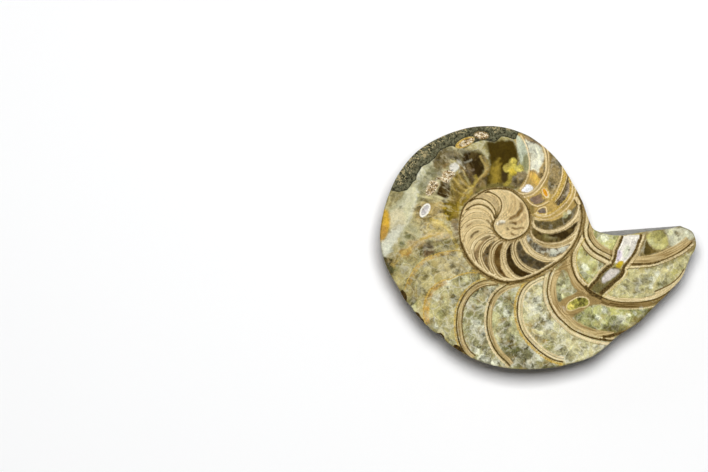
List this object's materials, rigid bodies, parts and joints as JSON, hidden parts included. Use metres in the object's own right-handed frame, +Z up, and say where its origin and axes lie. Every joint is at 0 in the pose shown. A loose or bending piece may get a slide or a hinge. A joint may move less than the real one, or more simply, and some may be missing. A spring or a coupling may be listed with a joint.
{
  "type": "nautilus shell half",
  "caption": "One half of a fossil nautilus, sawn through its coil and polished, showing the chamber walls, the siphuncle and the mineral that fills the chambers.",
  "frame": {"origin": "at the base, under the middle of the outline's box", "axes": "+Z up, out of the level polished cut face; +X along the longest side, towards the tip of the broken open end; +Y towards the top of the coil"},
  "size_m": [0.1, 0.077, 0.024],
  "materials": {
    "fossil_stone": "polished calcite and fossil shell"
  },
  "bodies": {
    "root": {"nautilus_half": "fossil_stone"}
  },
  "joints": []
}
